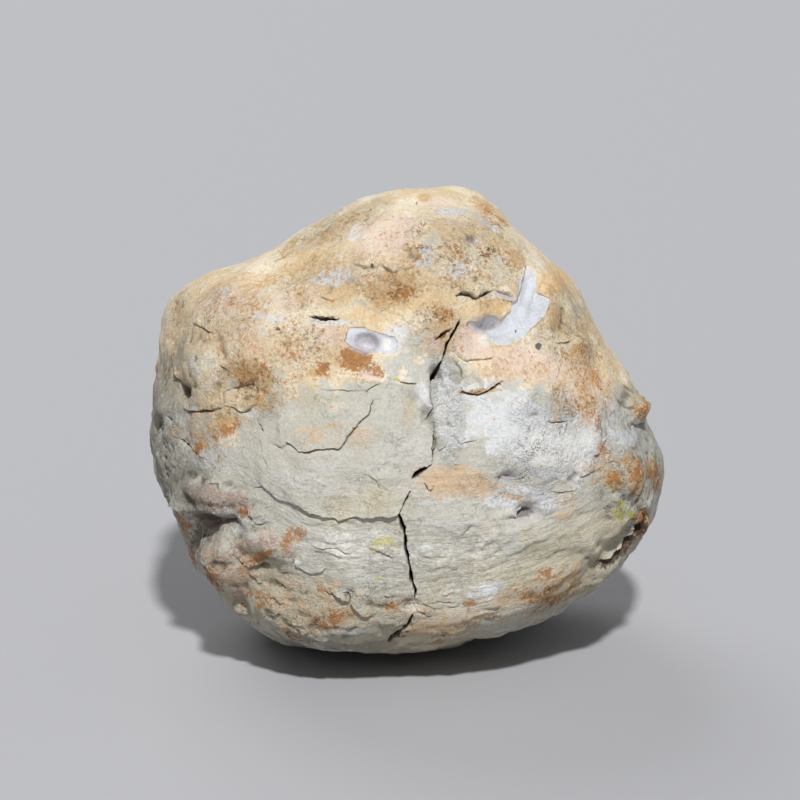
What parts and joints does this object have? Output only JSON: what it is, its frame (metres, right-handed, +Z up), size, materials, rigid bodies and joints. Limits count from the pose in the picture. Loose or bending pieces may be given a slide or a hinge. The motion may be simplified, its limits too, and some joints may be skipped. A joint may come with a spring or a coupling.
{
  "type": "geode",
  "caption": "Whole uncut geode: a rough, lumpy round stone with a chalky, flaking tan and white rind, cracked down its front, with small white quartz pockets.",
  "frame": {"origin": "on the plane the stone rests on, under the middle of its bounding box", "axes": "+Z up; +X to the stone's right-hand side as its cracked front is looked at, along its width; -Y out of its cracked front"},
  "size_m": [0.2036, 0.1756, 0.1818],
  "materials": {
    "rind": "dry, chalky and rough"
  },
  "bodies": {
    "root": {"geode": "rind"}
  },
  "joints": []
}
